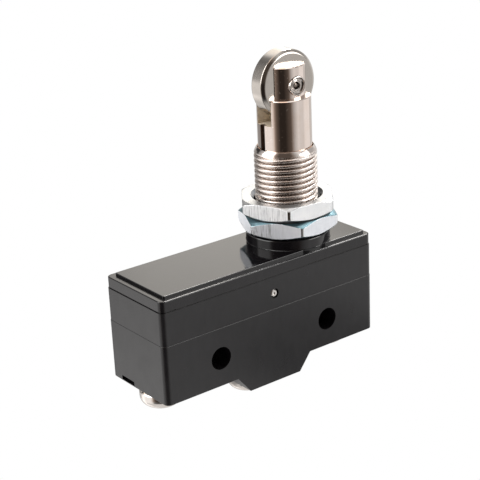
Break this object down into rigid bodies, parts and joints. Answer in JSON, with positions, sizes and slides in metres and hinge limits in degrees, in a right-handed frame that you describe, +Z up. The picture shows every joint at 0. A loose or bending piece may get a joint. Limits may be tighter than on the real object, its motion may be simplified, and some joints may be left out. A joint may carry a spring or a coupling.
{
  "type": "roller plunger limit switch",
  "caption": "Panel-mount limit switch: black moulded case with screw terminals underneath and a threaded bushing with a sprung cross-roller plunger on top.",
  "frame": {"origin": "on the back mounting face, midway between the axes of the two mounting holes", "axes": "+Z up along the plunger, +X along the case towards the plunger's end, +Y out of the back mounting face"},
  "size_m": [0.0495, 0.0181, 0.0644],
  "materials": {
    "phenolic": "moulded phenolic, glossy black",
    "nickel": "nickel plate over turned brass",
    "zinc": "bright zinc-plated steel",
    "roller_steel": "satin turned steel",
    "bright_steel": "bright steel",
    "spring_steel": "drawn spring wire",
    "pin_plastic": "moulded thermoset, red-brown",
    "blade_copper": "rolled beryllium copper strip",
    "contact_silver": "silver rivet contacts",
    "terminal_brass": "stamped brass"
  },
  "bodies": {
    "body": {"case": "phenolic", "cover": "phenolic", "top_cap": "phenolic", "cross_pin": "bright_steel", "bushing": "nickel", "lower_nut": "zinc", "upper_nut": "zinc", "return_spring": "spring_steel", "no_contact": "contact_silver", "nc_contact": "contact_silver", "common_terminal": "terminal_brass", "no_terminal": "terminal_brass", "nc_terminal": "terminal_brass", "terminal_screw_com": "zinc", "terminal_screw_no": "zinc", "terminal_screw_nc": "zinc", "washer_com": "zinc", "washer_no": "zinc", "washer_nc": "zinc"},
    "plunger": {"plunger": "nickel", "roller_axle": "bright_steel", "retaining_ring": "bright_steel"},
    "roller": {"roller": "roller_steel"},
    "actuator": {"push_rod": "bright_steel", "actuator_pin": "pin_plastic", "overtravel_spring": "spring_steel"},
    "blade": {"contact_blade": "blade_copper", "moving_contact": "contact_silver", "bow_spring": "blade_copper"}
  },
  "joints": [
    {"name": "plunger_slide", "type": "slide", "parent": "body", "child": "plunger", "axis": [0, 0, -1], "range_m": [0, 0.004], "stiffness_N_per_m": 1000, "springref_m": -0.003, "deforming": ["return_spring", "overtravel_spring"]},
    {"name": "roller_spin", "type": "hinge", "parent": "plunger", "child": "roller", "pos_m": [0.01095, -0.00885, 0.04515], "axis": [0, 1, 0], "continuous": true},
    {"name": "actuator_slide", "type": "slide", "parent": "body", "child": "actuator", "axis": [0, 0, -1], "range_m": [0, 0.0004]},
    {"name": "blade_hinge", "type": "hinge", "parent": "body", "child": "blade", "pos_m": [-0.0172, -0.00885, 0.00625], "axis": [0, 1, 0], "range_deg": [0, 0.83]}
  ],
  "couplings": [
    {"joint": "actuator_slide", "follows": "plunger_slide", "ratio": 0.1},
    {"joint": "blade_hinge", "follows": "plunger_slide", "rad_per_m": 3.552}
  ]
}
